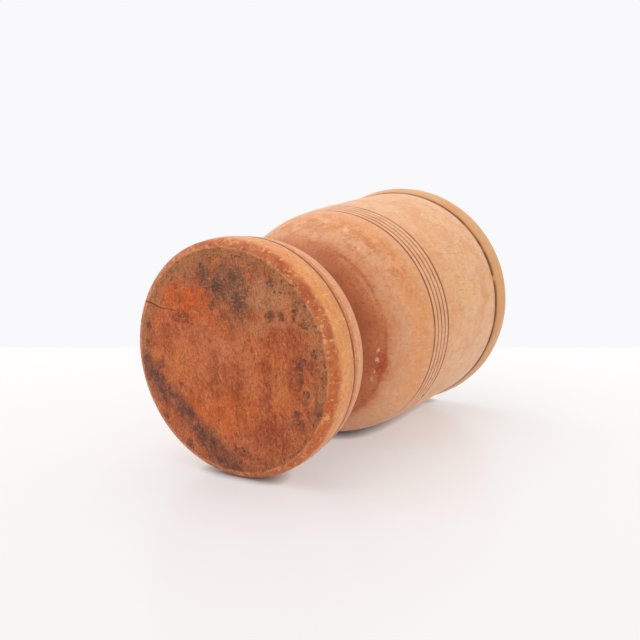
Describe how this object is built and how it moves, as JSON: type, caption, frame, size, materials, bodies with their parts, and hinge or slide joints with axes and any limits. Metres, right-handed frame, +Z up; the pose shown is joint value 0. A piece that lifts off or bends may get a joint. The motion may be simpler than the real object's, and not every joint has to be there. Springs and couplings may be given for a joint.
{
  "type": "wooden mortar",
  "caption": "Turned wooden mortar for muddling and crushing: a hollowed barrel with incised rings and a beaded rim, on a narrow neck and a moulded foot, lying on its side.",
  "frame": {"origin": "centre of the bounding box on the surface that the mortar lies on", "axes": "+Y runs along the mortar from the foot towards the mouth, +Z is up from the surface. The turning axis rises 4.75 degrees towards the mouth, because the rim is larger than the foot."},
  "size_m": [0.0996, 0.1446, 0.0993],
  "materials": {
    "foot_wood": "satin, stained red-brown end grain with an orange side",
    "bowl_wood": "satin, pinkish beige with orange mottling, darker in the neck",
    "rim_wood": "satin ochre"
  },
  "bodies": {
    "root": {"foot": "foot_wood", "bowl": "bowl_wood", "rim_ring": "rim_wood"}
  },
  "joints": []
}
